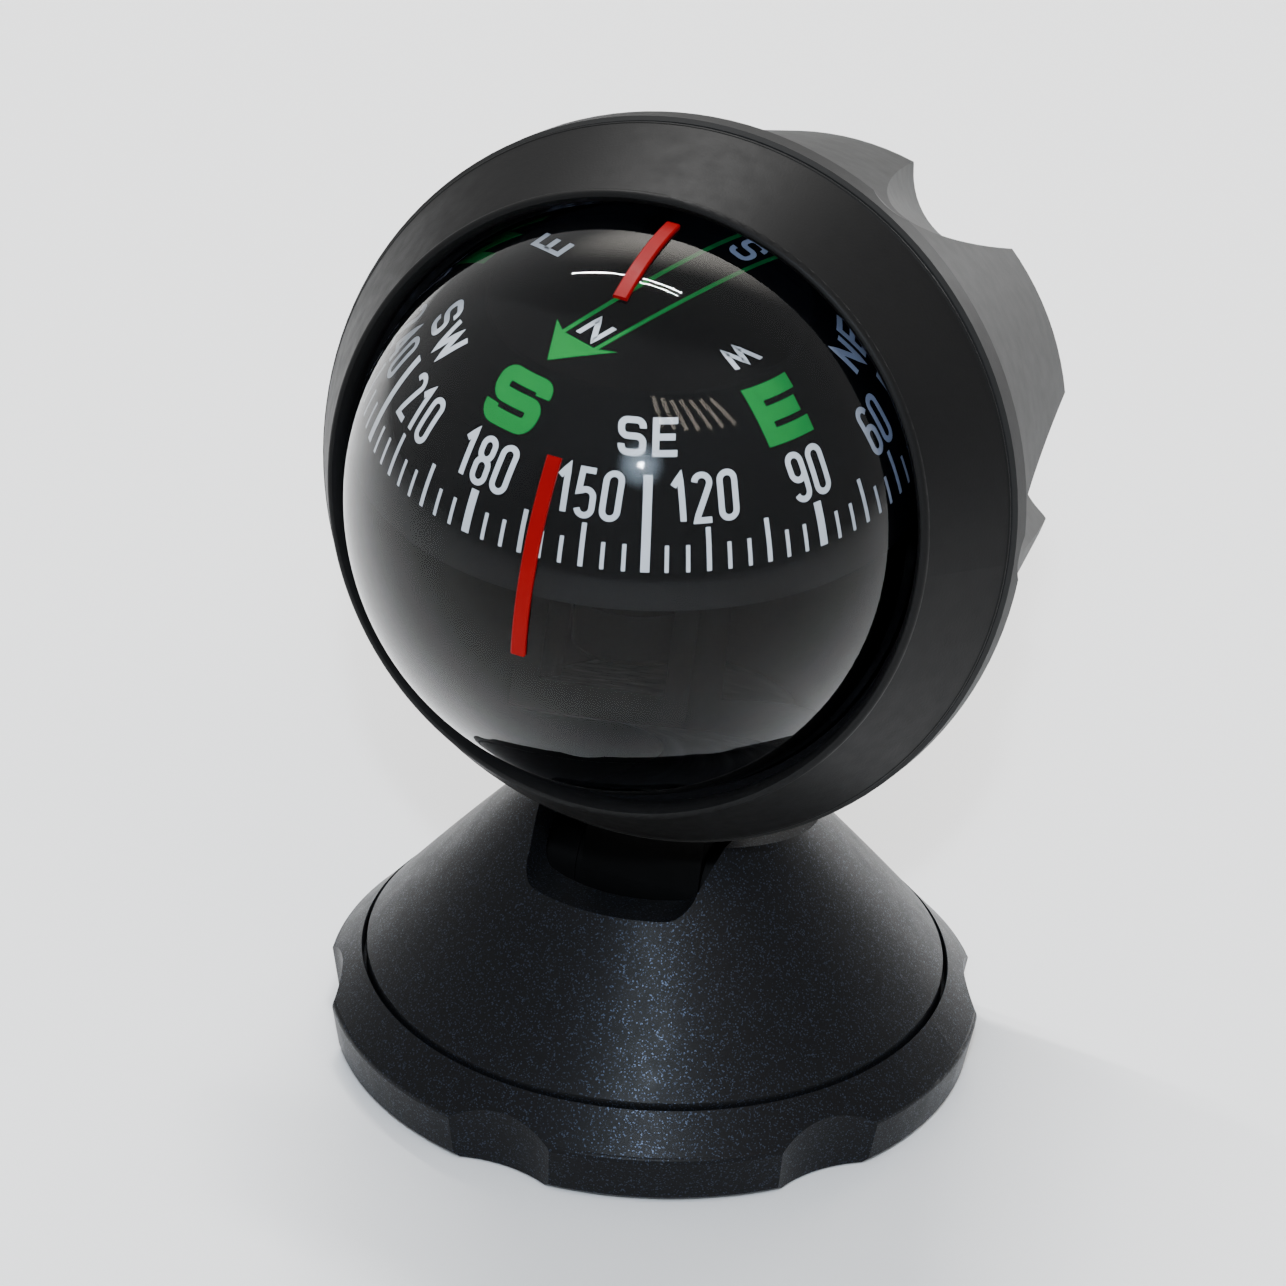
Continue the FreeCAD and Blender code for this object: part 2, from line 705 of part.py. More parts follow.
def compensator_spindle(side):
    x = side * spindle_spread
    holder = compensator_front + magnet_bar_side
    head_seat = cover_back - spindle_head_sunk + seat_gap
    shaft = rod(spindle_radius, head_seat - holder, (x, holder, 0), (0, 1, 0))
    hub = rod(holder_radius, holder_thickness, (x, holder, 0), (0, 1, 0))
    head = rod(spindle_head, 0.85, (x, head_seat, 0), (0, 1, 0))
    slot = block((x - 0.35, head_seat + 0.35, -4), (x + 0.35, head_seat + 2, 4))
    return shaft.fuse(hub).fuse(head).cut(slot)


def compensator_magnet_bar(side):
    x = side * spindle_spread
    half = compensator_magnet / 2
    return block((x - magnet_bar_side / 2, compensator_front, -half),
                 (x + magnet_bar_side / 2, compensator_front + magnet_bar_side, half))


# ---- level gimbal and card ----

def gimbal_pin():
    reach = cheek_inner + cheek_thickness
    return rod(gimbal_pin_radius, 2 * reach, (-reach, 0, 0), (1, 0, 0))


def gimbal_weight():
    hub = rod(weight_hub_radius, 2 * cheek_inner - 1.0, (0.5 - cheek_inner, 0, 0), (1, 0, 0))
    stem = rod(weight_stem_radius, weight_bottom, (0, 0, -weight_bottom), (0, 0, 1))
    bob = turned_upright([(0, -weight_bottom), (weight_radius - 0.4, -weight_bottom),
                          (weight_radius, -weight_bottom + 0.4),
                          (weight_radius, -weight_bottom + weight_height),
                          (0, -weight_bottom + weight_height)])
    weight = hub.fuse(stem).fuse(bob)
    weight = weight.cut(rod(gimbal_pin_radius, 12, (-6, 0, 0), (1, 0, 0)))
    return weight.cut(rod(needle_radius, 3, (0, 0, needle_seat), (0, 0, 1)))


def pivot_needle():
    shank = rod(needle_radius, needle_top - needle_point - needle_seat, (0, 0, needle_seat), (0, 0, 1))
    tip = Part.makeCone(needle_radius, 0.05, needle_point, V(0, 0, needle_top - needle_point))
    return shank.fuse(tip)


def jewel_cup():
    hollow = jewel_bottom + 1.0
    stem = jewel_top + carrier_thickness
    return turned_upright([(0, hollow), (0.15, hollow), (1.05, jewel_bottom), (jewel_radius, jewel_bottom),
                           (jewel_radius, jewel_top), (jewel_stem_radius, jewel_top), (jewel_stem_radius,
                                                                                       stem),
                           (0, stem)])


def magnet_carrier():
    top = jewel_top + carrier_thickness
    disc = rod(carrier_radius, carrier_thickness, (0, 0, jewel_top), (0, 0, 1))
    disc = disc.cut(rod(jewel_stem_radius, 3, (0, 0, jewel_top - 1), (0, 0, 1)))
    post = rod(carrier_post_radius, card_top - card_wall - top, (0, 0, top), (0, 0, 1))
    return disc.fuse(post)


def card_magnets():
    bars = []
    for side in (-1, 1):
        x = side * magnet_spread
        half = magnet_section / 2
        bars.append(block((x - half, -magnet_length / 2, jewel_top - magnet_section),
                          (x + half, magnet_length / 2, jewel_top)))
    return Part.Compound(bars)


def compass_card():
    """Domed side wall with a flat disc on top."""
    edge = sphere_at(card_radius, card_top)
    ceiling = card_top - card_wall
    foot = sphere_at(card_radius, card_rim_height)
    inner_foot = sphere_at(card_inner, card_rim_height)
    inner_edge = sphere_at(card_inner, ceiling)
    return turned_upright([
        (0, ceiling), (inner_edge, ceiling), (arc_point(card_inner, 20), (inner_foot, card_rim_height)),
        (foot, card_rim_height), (arc_point(card_radius, 20), (edge + 0.12, card_top - 0.12)),
        (edge - 0.1, card_top), (0, card_top)])


def save(name, shape):
    if not shape.isValid():
        print("not valid:", name)
    shape.exportStep("parts/" + name + ".step")


os.makedirs("parts", exist_ok=True)
save("adhesive_pad", adhesive_pad())
save("base_plate", base_plate())
save("base_plate_screws", base_plate_screws())
save("base_ring", base_ring())
save("swivel_thrust_washer", swivel_thrust_washer())
save("swivel_wave_washer", swivel_wave_washer())
save("swivel_cap_washer", swivel_cap_washer())
save("swivel_screw", swivel_screw())
save("turret_cone", turret_cone())
save("tilt_yoke", tilt_yoke())
save("yoke_screws", yoke_screws())
save("tilt_axle", tilt_axle())
save("axle_nut", axle_nut())
save("tilt_washers", tilt_washers())
save("tilt_arm", in_head(tilt_arm()))
save("arm_screws", in_head(arm_screws()))
save("rear_housing", in_head(rear_housing()))
save("bezel", in_head(bezel()))
save("retaining_ring", in_head(retaining_ring()))
save("seal_ring", in_head(seal_ring()))
save("dome", in_ball(dome()))
save("lubber_line_lower", in_ball(lubber_bar(lubber_lower)))
save("lubber_line_upper", in_ball(lubber_bar(lubber_upper)))
save("ball_bowl", in_head(bowl()))
save("fill_plug", in_head(fill_plug()))
save("expansion_diaphragm", in_head(expansion_diaphragm()))
save("diaphragm_cap", in_head(diaphragm_cap()))
save("pivot_bracket", in_head(pivot_bracket()))
save("rear_cover", in_head(rear_cover()))
save("cover_screws", in_head(cover_screws()))
save("compensator_spindle_left", in_head(compensator_spindle(-1)))
save("compensator_magnet_left", in_head(compensator_magnet_bar(-1)))
save("compensator_spindle_right", in_head(compensator_spindle(1)))
save("compensator_magnet_right", in_head(compensator_magnet_bar(1)))
save("gimbal_pin", at_ball(gimbal_pin()))
save("gimbal_weight", at_ball(gimbal_weight()))
save("pivot_needle", at_ball(pivot_needle()))
save("jewel_cup", at_ball(jewel_cup()))
save("magnet_carrier", at_ball(magnet_carrier()))
save("card_magnets", at_ball(card_magnets()))
save("compass_card", at_ball(compass_card()))
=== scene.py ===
import bpy, bmesh, json, math
from mathutils import Matrix, Quaternion, Vector


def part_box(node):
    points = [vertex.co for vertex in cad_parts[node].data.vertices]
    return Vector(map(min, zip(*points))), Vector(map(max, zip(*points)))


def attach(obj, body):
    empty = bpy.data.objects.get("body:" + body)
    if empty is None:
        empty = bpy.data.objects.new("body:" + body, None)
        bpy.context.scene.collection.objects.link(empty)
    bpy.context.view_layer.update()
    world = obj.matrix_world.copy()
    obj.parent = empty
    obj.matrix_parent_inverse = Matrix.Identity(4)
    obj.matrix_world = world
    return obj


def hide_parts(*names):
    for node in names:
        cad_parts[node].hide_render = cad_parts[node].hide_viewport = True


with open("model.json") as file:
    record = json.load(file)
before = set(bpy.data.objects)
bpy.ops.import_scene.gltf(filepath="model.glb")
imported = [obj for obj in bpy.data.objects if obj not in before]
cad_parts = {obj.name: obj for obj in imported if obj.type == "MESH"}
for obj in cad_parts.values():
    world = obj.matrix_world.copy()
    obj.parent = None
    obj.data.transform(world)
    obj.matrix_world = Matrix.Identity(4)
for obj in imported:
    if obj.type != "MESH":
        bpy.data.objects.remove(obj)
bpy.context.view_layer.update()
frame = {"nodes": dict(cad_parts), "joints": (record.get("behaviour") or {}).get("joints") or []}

mm = 0.001
nodes = frame["nodes"]
joints = {j["name"]: j for j in frame["joints"]}
print("frame loaded:", len(nodes), "nodes")

# places read from the frame
ballCentre = Vector(joints["card_turn"]["pos_m"])
cardHigh = Vector(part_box("compass_card")[1])
cardTop = cardHigh.z - ballCentre.z                          # flat disc above the ball's centre
headBack = Vector(joints["compensator_left_turn"]["axis"])   # points out of the back of the head
headUp = Vector((0, -headBack.z, headBack.y))

cardRadius = 16.75 * mm                                      # of its domed side


def startMaterial(name, settings):
    mat = bpy.data.materials.new(name)
    mat.use_nodes = True
    tree = mat.node_tree
    shader = tree.nodes["Principled BSDF"]
    for socket, value in settings.items():
        shader.inputs[socket].default_value = value
    place = tree.nodes.new("ShaderNodeTexCoord").outputs["Object"]
    return mat, tree, shader, place


def link(tree, a, b):
    tree.links.new(a, b)


def noise(tree, place, scale, detail):
    n = tree.nodes.new("ShaderNodeTexNoise")
    n.inputs["Scale"].default_value = scale
    n.inputs["Detail"].default_value = detail
    link(tree, place, n.inputs["Vector"])
    return n.outputs["Fac"]


def cells(tree, place, scale):
    n = tree.nodes.new("ShaderNodeTexVoronoi")
    n.inputs["Scale"].default_value = scale
    link(tree, place, n.inputs["Vector"])
    return n


def spread(tree, value, low, high, fromLow=0.0, fromHigh=1.0):
    n = tree.nodes.new("ShaderNodeMapRange")
    n.inputs["From Min"].default_value = fromLow
    n.inputs["From Max"].default_value = fromHigh
    n.inputs["To Min"].default_value = low
    n.inputs["To Max"].default_value = high
    link(tree, value, n.inputs["Value"])
    return n.outputs["Result"]


def twoColours(tree, factor, first, second):
    n = tree.nodes.new("ShaderNodeMix")
    n.data_type = "RGBA"
    n.inputs[6].default_value = (*first, 1)
    n.inputs[7].default_value = (*second, 1)
    link(tree, factor, n.inputs[0])
    return n.outputs[2]


def bump(tree, shader, height, strength, distance):
    n = tree.nodes.new("ShaderNodeBump")
    n.inputs["Strength"].default_value = strength
    n.inputs["Distance"].default_value = distance
    link(tree, height, n.inputs["Height"])
    link(tree, n.outputs["Normal"], shader.inputs["Normal"])


def roughen(tree, shader, value, low, high):
    # nearly all of a noise lies between 0.3 and 0.7
    link(tree, spread(tree, value, low, high, 0.3, 0.7), shader.inputs["Roughness"])


satinBlack = dict(dark=(0.006, 0.006, 0.0062), light=(0.009, 0.0088, 0.0085),
                  roughLow=0.42, roughHigh=0.5, gloss=0.075,
                  cloud=90, wear=700, grain=5200, grainDepth=0.018 * mm)

# painted light: the bezel's black plastic made lighter, for the grazing light from behind that greys the
# rear housing
rearBlackPaintedLight = dict(dark=(0.014, 0.014, 0.014), light=(0.017, 0.017, 0.0168),
                roughLow=0.53, roughHigh=0.57, gloss=0.1,
                cloud=90, wear=700, grain=5200, grainDepth=0.012 * mm)


def makeSatinBlack(name, s):
    mat, tree, shader, place = startMaterial(name, {"Specular IOR Level": s["gloss"]})
    cloud = noise(tree, place, s["cloud"], 4)
    link(tree, twoColours(tree, cloud, s["dark"], s["light"]), shader.inputs["Base Color"])
    roughen(tree, shader, noise(tree, place, s["wear"], 3), s["roughLow"], s["roughHigh"])
    bump(tree, shader, noise(tree, place, s["grain"], 2), 0.5, s["grainDepth"])
    return mat


sparkleBlack = dict(dark=(0.006, 0.0062, 0.0068), flake=(0.034, 0.043, 0.064),
                    flakeSize=10500, flakeShare=0.16, roughLow=0.34, roughHigh=0.42,
                    gloss=0.08, wear=500, grainDepth=0.012 * mm)


def makeSparkleBlack(name, s):
    mat, tree, shader, place = startMaterial(name, {"Specular IOR Level": s["gloss"]})
    cell = cells(tree, place, s["flakeSize"])
    bright = tree.nodes.new("ShaderNodeSeparateColor")
    link(tree, cell.outputs["Color"], bright.inputs["Color"])
    flake = spread(tree, bright.outputs["Red"], 0.0, 1.0, 1 - s["flakeShare"], 1.0)
    link(tree, twoColours(tree, flake, s["dark"], s["flake"]), shader.inputs["Base Color"])
    link(tree, flake, shader.inputs["Metallic"])
    roughen(tree, shader, noise(tree, place, s["wear"], 3), s["roughLow"], s["roughHigh"])
    bump(tree, shader, bright.outputs["Green"], 0.35, s["grainDepth"])
    return mat


def makePlain(name, colour, rough, variation=0.2, gloss=0.5, grain=1500, depth=0.008, coat=0.0, ior=1.5):
    settings = {"Specular IOR Level": gloss, "Coat Weight": coat, "IOR": ior}
    mat, tree, shader, place = startMaterial(name, settings)
    darker = tuple(c * (1 - variation) for c in colour)
    link(tree, twoColours(tree, noise(tree, place, 260, 4), darker, colour), shader.inputs["Base Color"])
    roughen(tree, shader, noise(tree, place, 900, 3), rough * 0.85, rough * 1.15)
    bump(tree, shader, noise(tree, place, grain, 3), 0.4, depth * mm)
    return mat


def makeTurnedMetal(name, colour, rough):
    mat, tree, shader, place = startMaterial(name, {"Metallic": 1.0})
    stretch = tree.nodes.new("ShaderNodeMapping")
    stretch.inputs["Scale"].default_value = (1, 1, 9)
    link(tree, place, stretch.inputs["Vector"])
    lines = noise(tree, stretch.outputs["Vector"], 900, 3)
    darker = tuple(c * 0.75 for c in colour)
    link(tree, twoColours(tree, lines, darker, colour), shader.inputs["Base Color"])
    roughen(tree, shader, lines, rough * 0.8, rough * 1.3)
    bump(tree, shader, lines, 0.3, 0.005 * mm)
    return mat


clearAcrylic = dict(ior=1.45, glint=(0.3, 0.3, 0.29, 1), tint=(0.96, 0.98, 1.0), wave=0.004 * mm,
                    rimShadeTint=(0.14, 0.18, 0.32), rimShadeFrom=-8.3, rimShadeTo=-4.8)   # painted shade: darker and bluer toward its rim, for the bezel's shadow on the card


def makeClearBall(name, s):
    # clear dome and the oil behind it, one refracting body; lamps reach the card through it
    settings = {"Transmission Weight": 1.0, "Roughness": 0.0, "IOR": s["ior"], "Specular Tint": s["glint"]}
    mat, tree, shader, place = startMaterial(name, settings)
    bump(tree, shader, noise(tree, place, 45, 1), 0.1, s["wave"])
    along = tree.nodes.new("ShaderNodeVectorMath")             # metres along the head's axis
    along.operation = "DOT_PRODUCT"
    along.inputs[1].default_value = headBack
    link(tree, place, along.inputs[0])
    centre = ballCentre.dot(headBack)
    clearEnd, darkEnd = centre + s["rimShadeFrom"] * mm, centre + s["rimShadeTo"] * mm
    # painted shade: the ball's colour darkens toward its rim, where the bezel shades the card
    rimShade = spread(tree, along.outputs["Value"], 0.0, 1.0, clearEnd, darkEnd)
    link(tree, twoColours(tree, rimShade, s["tint"], s["rimShadeTint"]), shader.inputs["Base Color"])
    out = tree.nodes["Material Output"]
    clear = tree.nodes.new("ShaderNodeBsdfTransparent")
    clear.inputs["Color"].default_value = (0.9, 0.9, 0.9, 1)
    path = tree.nodes.new("ShaderNodeLightPath")
    mix = tree.nodes.new("ShaderNodeMixShader")
    link(tree, path.outputs["Is Shadow Ray"], mix.inputs[0])
    link(tree, shader.outputs["BSDF"], mix.inputs[1])
    link(tree, clear.outputs["BSDF"], mix.inputs[2])
    link(tree, mix.outputs["Shader"], out.inputs["Surface"])
    return mat


finishes = {
    "satinBlackPlastic": makeSatinBlack("satinBlackPlastic", satinBlack),
    "rearBlackPaintedLight": makeSatinBlack("rearBlackPaintedLight", rearBlackPaintedLight),
    "sparkleBlackPlastic": makeSparkleBlack("sparkleBlackPlastic", sparkleBlack),
    "glossBlack": makePlain("glossBlack", (0.006, 0.006, 0.0065), 0.12, grain=600, depth=0.003),
    "mattBlack": makePlain("mattBlack", (0.0045, 0.0045, 0.0045), 0.55, gloss=0.08, grain=2500, depth=0.02),
    # these four are wetted by oil, so they hardly shine
    "cardBlack": makePlain("cardBlack", (0.006, 0.006, 0.0062), 0.6, ior=1.04, depth=0.003),
    "innerBlack": makePlain("innerBlack", (0.0016, 0.0016, 0.0016), 0.6, ior=1.04, depth=0.003),
    "whitePrint": makePlain("whitePrint", (0.5, 0.53, 0.565), 0.5, 0.08, ior=1.04),
    "greenPrint": makePlain("greenPrint", (0.0085, 0.16, 0.032), 0.5, 0.12, ior=1.04),
    "redPaint": makePlain("redPaint", (0.25, 0.0008, 0.0022), 0.4, 0.3, gloss=0.06, grain=1200,
                          depth=0.006),
    "whitePlastic": makePlain("whitePlastic", (0.7, 0.7, 0.67), 0.45, 0.06),
    "rubber": makePlain("rubber", (0.02, 0.02, 0.02), 0.7, grain=3000, depth=0.02),
    "padFoam": makePlain("padFoam", (0.035, 0.035, 0.037), 0.85, grain=2200, depth=0.06),
    "steel": makeTurnedMetal("steel", (0.62, 0.62, 0.63), 0.28),
    "brass": makeTurnedMetal("brass", (0.75, 0.53, 0.22), 0.26),
    "magnetDark": makeTurnedMetal("magnetDark", (0.2, 0.2, 0.21), 0.4),
    "jewelRed": makePlain("jewelRed", (0.35, 0.02, 0.05), 0.1, grain=800, depth=0.002, coat=0.5),
    "clearBall": makeClearBall("clearBall", clearAcrylic),
}

nodeFinish = {
    "satinBlackPlastic": ["bezel"],
    # the rear housing gets the lighter black, painted light from behind
    "rearBlackPaintedLight": ["rear_housing", "rear_cover"],
    "sparkleBlackPlastic": ["turret_cone", "base_ring"],
    "glossBlack": ["retaining_ring"],
    "mattBlack": ["base_plate", "tilt_yoke", "tilt_arm", "tilt_washers", "diaphragm_cap"],
    "innerBlack": ["ball_bowl", "pivot_bracket", "gimbal_weight"],
    "cardBlack": ["compass_card"],
    "redPaint": ["lubber_line_lower", "lubber_line_upper"],
    "whitePlastic": ["swivel_thrust_washer", "magnet_carrier"],
    "rubber": ["seal_ring", "expansion_diaphragm"],
    "padFoam": ["adhesive_pad"],
    "steel": ["base_plate_screws", "swivel_wave_washer", "swivel_cap_washer", "swivel_screw",
              "yoke_screws", "tilt_axle", "axle_nut", "arm_screws", "cover_screws", "gimbal_pin",
              "pivot_needle"],
    "brass": ["fill_plug", "compensator_spindle_left", "compensator_spindle_right"],
    "magnetDark": ["compensator_magnet_left", "compensator_magnet_right", "card_magnets"],
    "jewelRed": ["jewel_cup"],
    "clearBall": ["dome"],
}
for finish, names in nodeFinish.items():
    for name in names:
        for slot in nodes[name].material_slots:
            slot.material = finishes[finish]
print("finishes set:", len(finishes))


def addPiece(name, bm, body, finish, smooth=True):
    bmesh.ops.recalc_face_normals(bm, faces=bm.faces)
    mesh = bpy.data.meshes.new(name)
    bm.to_mesh(mesh)
    bm.free()
    for poly in mesh.polygons:
        poly.use_smooth = smooth
    obj = bpy.data.objects.new(name, mesh)
    bpy.context.scene.collection.objects.link(obj)
    mesh.materials.append(finishes[finish])
    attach(obj, body)
    return obj


def revolveHead(profile, steps):
    # closed body turned about the head's axis from (radius, back) points in mm; ends on the axis are closed
    bm = bmesh.new()
    rings = []
    for radius, back in profile:
        centre = ballCentre + headBack * (back * mm)
        if radius < 1e-6:
            rings.append([bm.verts.new(centre)])
            continue
        ring = []
        for k in range(steps):
            a = 2 * math.pi * k / steps
            side = Vector((1, 0, 0)) * math.sin(a) + headUp * math.cos(a)
            ring.append(bm.verts.new(centre + side * (radius * mm)))
        rings.append(ring)
    for first, second in zip(rings, rings[1:]):
        for k in range(steps):
            j = (k + 1) % steps
            corners = [first[k % len(first)], first[j % len(first)],
                       second[j % len(second)], second[k % len(second)]]
            unique = list(dict.fromkeys(corners))
            if len(unique) > 2:
                bm.faces.new(unique)
    return bm


def arc(radius, fromDeg, toDeg, count):
    # (radius, back) points on a circle about the ball's centre; 90 degrees is straight back
    points = []
    for k in range(count + 1):
        a = math.radians(fromDeg + (toDeg - fromDeg) * k / count)
        points.append((radius * math.cos(a), radius * math.sin(a)))
    return points


clearBall = dict(radius=22.0, oilRadius=20.38, flangeRadius=24.2, flangeFront=1.5, flangeBack=3.2,
                 clearTo=-0.6, steps=192)


def makeBall(s):
    front = arc(s["radius"], -90, 0, 64)
    front[0] = (0.0, -s["radius"])
    seam = math.degrees(math.asin(s["flangeBack"] / s["oilRadius"]))
    rear = arc(s["oilRadius"], seam, 90, 48)
    rear[-1] = (0.0, s["oilRadius"])
    flange = [(s["radius"], s["flangeFront"]), (s["flangeRadius"], s["flangeFront"]),
              (s["flangeRadius"], s["flangeBack"])]
    bm = revolveHead(front + flange + rear, s["steps"])
    ball = addPiece("clear_ball", bm, "head", "clearBall")
    ball.data.materials.append(finishes["innerBlack"])       # where the oil meets the bowl
    for poly in ball.data.polygons:
        if (poly.center - ballCentre).dot(headBack) > s["clearTo"] * mm:
            poly.material_index = 1
    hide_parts("dome")


makeBall(clearBall)
print("ball made")


# the degree mark firstLabel stands firstAngle degrees round from -Y toward +X
card = dict(firstLabel=135.0, firstAngle=22.5,
            tickFoot=10.95, tickShort=17.2, tickMiddle=21.0, tickTall=33.1,
            widthShort=0.27, widthMiddle=0.33, widthThick=0.6,
            figureFoot=21.9, figureHeight=3.4, figureWidth=1.42, figureStroke=0.41, figureGap=0.3,
            bigFoot=36.0, bigHeight=4.15, bigWidth=4.4, bigStroke=1.1,
            pairFoot=37.2, pairHeight=2.65, pairWidth=1.88, pairStroke=0.45, pairGap=0.4,
            topHeight=2.3, topWidth=1.65, topStroke=0.36,
            ink=0.02, widths={"1": 0.62, "W": 1.6})


def labelAngle(label):
    return math.radians(card["firstAngle"] + card["firstLabel"] - label)


def onSide(label, foot, x, y, lift):
    # point x mm right and y mm above a foot line on the card's domed side
    radius = cardRadius / mm
    lat = math.radians(foot) + y / radius
    lon = labelAngle(label) + x / (radius * math.cos(lat))
    out = Vector((math.sin(lon) * math.cos(lat), -math.cos(lon) * math.cos(lat), math.sin(lat)))
    return ballCentre + out * ((radius + lift) * mm)


def onTop(label, distance, x, y, lift):
    # point on the flat disc; letters stand with their tops outward, distance mm from the middle
    a = labelAngle(label)
    out = Vector((math.sin(a), -math.cos(a), 0))
    right = Vector((-out.y, out.x, 0)) * -1
    flat = out * (distance + y) + right * x
    return ballCentre + Vector((flat.x * mm, flat.y * mm, cardTop + lift * mm))


def bow(cx, cy, rx, ry, fromDeg, toDeg, count=10):
    points = []
    for k in range(count + 1):
        a = math.radians(fromDeg + (toDeg - fromDeg) * k / count)
        points.append((cx + rx * math.cos(a), cy + ry * math.sin(a)))
    return points


def glyph(char, w, h):
    # centre lines of a narrow character, w wide and h high, as (points, closed) runs
    r = w / 2
    top, low = h - r, r
    m = h * 0.53
    if char == "0":
        return [(bow(r, top, r, r, 180, 0) + bow(r, low, r, r, 0, -180), True)]
    if char == "1":
        return [([(w * 0.12, h * 0.77), (w * 0.62, h), (w * 0.62, 0)], False)]
    if char == "2":
        return [(bow(r, top, r, r, 175, -25) + [(w * 0.1, h * 0.12), (0, 0), (w, 0)], False)]
    if char == "3":
        return [(bow(r, top, r, r, 170, 0) + bow(r, m + r * 0.9, r, r * 0.9, 0, -90), False),
                (bow(r, m - r * 0.9, r, r * 0.9, 90, 0) + bow(r, low, r, r, 0, -170), False)]
    if char == "4":
        return [([(w * 0.75, 0), (w * 0.75, h), (0, h * 0.27), (w * 1.05, h * 0.27)], False)]
    if char == "5":
        flag = [(w * 0.95, h), (w * 0.08, h), (0, h * 0.52)]
        return [(flag + bow(r, m - r * 0.75, r, r, 125, 0) + bow(r, low, r, r, 0, -170), False)]
    if char in "69":
        ring = [(bow(r, m + r * 0.2 - r, r, r, 180, 0) + bow(r, low, r, r, 0, -180), True)]
        tail = [(bow(r, top, r, r, 15, 180) + [(0, low)], False)]
        runs = ring + tail
        if char == "9":
            runs = [([(w - x, h - y) for x, y in points], closed) for points, closed in runs]
        return runs
    if char == "7":
        return [([(0, h), (w, h), (w * 0.3, 0)], False)]
    if char == "8":
        return [(bow(r, top, r * 0.94, r, 180, 0) + bow(r, m + r, r * 0.94, r, 0, -180), True),
                (bow(r, m - r, r, r, 180, 0) + bow(r, low, r, r, 0, -180), True)]
    if char == "S":
        ry = h / 4
        rx = w / 2
        c = min(rx, ry) * 0.8                              # squared shoulders
        return [([(w, h - ry), *bow(w - c, h - c, c, c, 0, 90, 5), *bow(c, h - c, c, c, 90, 180, 5),
                  *bow(c, h / 2 + c, c, c, 180, 270, 5), *bow(w - c, h / 2 - c, c, c, 90, 0, 5),
                  *bow(w - c, c, c, c, 0, -90, 5), *bow(c, c, c, c, -90, -180, 5), (0, ry)], False)]
    if char == "E":
        return [([(w, h), (0, h), (0, 0), (w, 0)], False), ([(0, h / 2), (w * 0.9, h / 2)], False)]
    if char == "N":
        return [([(0, 0), (0, h), (w, 0), (w, h)], False)]
    if char == "W":
        return [([(0, h), (w * 0.27, 0), (w * 0.5, h * 0.85), (w * 0.73, 0), (w, h)], False)]
    return []


def fineRun(points, closed, longest=0.3):
    # the same run with no step longer than longest, so that it can follow the card's curve
    out = []
    pairs = list(zip(points, points[1:] + points[:1] if closed else points[1:]))
    for (x0, y0), (x1, y1) in pairs:
        size = math.hypot(x1 - x0, y1 - y0)
        if size < 1e-5:
            continue
        count = max(1, math.ceil(size / longest))
        out += [(x0 + (x1 - x0) * k / count, y0 + (y1 - y0) * k / count) for k in range(count)]
    return out if closed else out + [points[-1]]


def inkRun(bm, points, closed, half, place):
    # a stroke of even width laid on the card: place(x, y, lift) gives its points
    run = fineRun(points, closed)
    count = len(run)
    sections = []
    for i, (x, y) in enumerate(run):
        before = run[i - 1] if i or closed else None
        after = run[(i + 1) % count] if i < count - 1 or closed else None
        dirs = []
        for a, b in ((before, (x, y)), ((x, y), after)):
            if a is not None and b is not None:
                size = math.hypot(b[0] - a[0], b[1] - a[1])
                dirs.append(((b[0] - a[0]) / size, (b[1] - a[1]) / size))
        dx, dy = sum(d[0] for d in dirs), sum(d[1] for d in dirs)
        size = math.hypot(dx, dy) or 1
        nx, ny = -dy / size, dx / size
        stretch = 1 / max(0.45, nx * -dirs[0][1] + ny * dirs[0][0])
        section = []
        for side, lift in ((-1, -card["ink"]), (1, -card["ink"]), (1, card["ink"]), (-1, card["ink"])):
            reach = half * side * stretch
            section.append(bm.verts.new(place(x + nx * reach, y + ny * reach, lift)))
        sections.append(section)
    following = sections[1:] + sections[:1] if closed else sections[1:]
    for a, b in zip(sections, following):
        for k in range(4):
            bm.faces.new((a[k], a[(k + 1) % 4], b[(k + 1) % 4], b[k]))
    if not closed:
        bm.faces.new(sections[0])
        bm.faces.new(sections[-1])


def write(bm, text, w, h, stroke, gap, place):
    # centres text on place's origin line
    widths = [w * card["widths"].get(c, 1.0) for c in text]
    x = -(sum(widths) + gap * (len(text) - 1) + stroke * (len(text) - 1)) / 2
    for c, wide in zip(text, widths):
        inner = w if c == "1" else wide
        for points, closed in glyph(c, inner, h - stroke):
            shift = -w * 0.2 if c == "1" else 0
            inkRun(bm, [(px + x + shift, py + stroke / 2) for px, py in points], closed, stroke / 2, place)
        x += wide + gap + stroke


def makeTicks():
    bm = bmesh.new()
    for label in range(0, 360, 5):
        top, wide = card["tickShort"], card["widthShort"]
        if label % 15 == 0:
            top, wide = card["tickMiddle"], card["widthMiddle"]
        if label % 90 == 0:
            wide = card["widthThick"]
        if label % 90 == 45:
            top, wide = card["tickTall"], card["widthThick"]
        length = math.radians(top - card["tickFoot"]) * cardRadius / mm
        inkRun(bm, [(0, 0), (0, length)], False, wide / 2,
               lambda x, y, lift: onSide(label, card["tickFoot"], x, y, lift))
    addPiece("card_degree_marks", bm, "card", "whitePrint", False)


